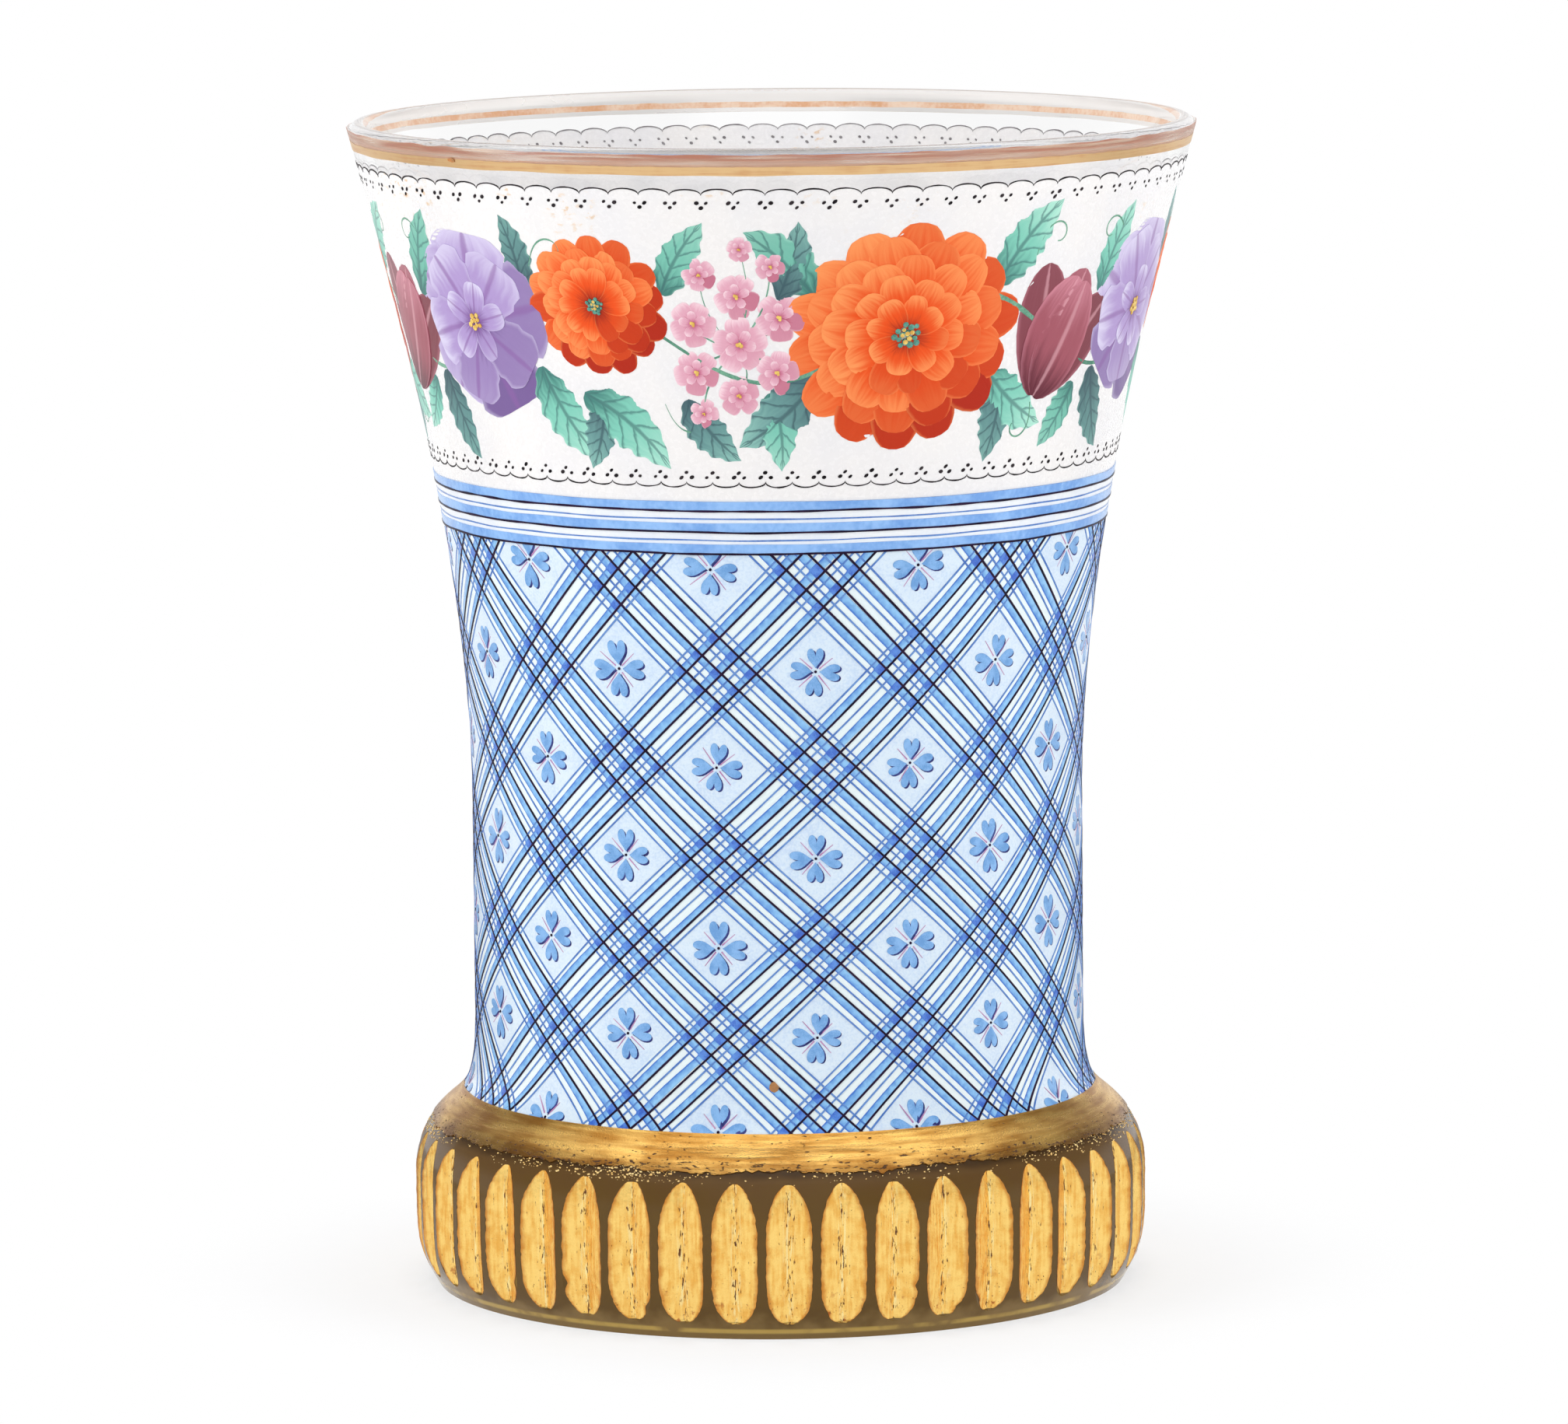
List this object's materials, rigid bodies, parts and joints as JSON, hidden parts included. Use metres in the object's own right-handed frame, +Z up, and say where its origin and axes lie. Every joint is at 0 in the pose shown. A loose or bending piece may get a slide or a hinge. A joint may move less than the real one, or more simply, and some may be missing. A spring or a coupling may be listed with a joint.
{
  "type": "footed glass beaker",
  "caption": "Flared drinking glass on a heavy foot with gilt mitre-cut flutes, a painted trellis body, a white flower frieze and a gilt rim.",
  "frame": {"origin": "centre of the underside, on the plane that the beaker stands on", "axes": "+Z up along the beaker's axis, -Y towards the side seen in the picture, +X to its right"},
  "size_m": [0.0836, 0.0836, 0.116],
  "materials": {
    "cut_glass": "polished clear glass, stained amber in the foot",
    "matte_gilding": "matte fired gilding with wear",
    "worn_gilding": "rubbed gilding, brown-pink where it is thin",
    "white_enamel": "glossy fired white enamel",
    "blue_enamel": "glossy transparent blue enamel on white",
    "trellis_enamel": "glossy pale blue enamel with a painted plaid"
  },
  "bodies": {
    "root": {"glass_beaker": "cut_glass", "foot_collar_gilding": "matte_gilding", "trellis_enamel": "trellis_enamel", "blue_stripe_01": "blue_enamel", "blue_stripe_02": "blue_enamel", "blue_stripe_03": "blue_enamel", "white_line_01": "white_enamel", "white_line_02": "white_enamel", "frieze_enamel": "white_enamel", "rim_gilding": "worn_gilding", "flute_gilding_01": "matte_gilding", "flute_gilding_02": "matte_gilding", "flute_gilding_03": "matte_gilding", "flute_gilding_04": "matte_gilding", "flute_gilding_05": "matte_gilding", "flute_gilding_06": "matte_gilding", "flute_gilding_07": "matte_gilding", "flute_gilding_08": "matte_gilding", "flute_gilding_09": "matte_gilding", "flute_gilding_10": "matte_gilding", "flute_gilding_11": "matte_gilding", "flute_gilding_12": "matte_gilding", "flute_gilding_13": "matte_gilding", "flute_gilding_14": "matte_gilding", "flute_gilding_15": "matte_gilding", "flute_gilding_16": "matte_gilding", "flute_gilding_17": "matte_gilding", "flute_gilding_18": "matte_gilding", "flute_gilding_19": "matte_gilding", "flute_gilding_20": "matte_gilding", "flute_gilding_21": "matte_gilding", "flute_gilding_22": "matte_gilding", "flute_gilding_23": "matte_gilding", "flute_gilding_24": "matte_gilding", "flute_gilding_25": "matte_gilding", "flute_gilding_26": "matte_gilding", "flute_gilding_27": "matte_gilding", "flute_gilding_28": "matte_gilding", "flute_gilding_29": "matte_gilding", "flute_gilding_30": "matte_gilding", "flute_gilding_31": "matte_gilding", "flute_gilding_32": "matte_gilding", "flute_gilding_33": "matte_gilding", "flute_gilding_34": "matte_gilding", "flute_gilding_35": "matte_gilding", "flute_gilding_36": "matte_gilding", "flute_gilding_37": "matte_gilding", "flute_gilding_38": "matte_gilding", "flute_gilding_39": "matte_gilding", "flute_gilding_40": "matte_gilding", "flute_gilding_41": "matte_gilding", "flute_gilding_42": "matte_gilding", "flute_gilding_43": "matte_gilding"}
  },
  "joints": []
}
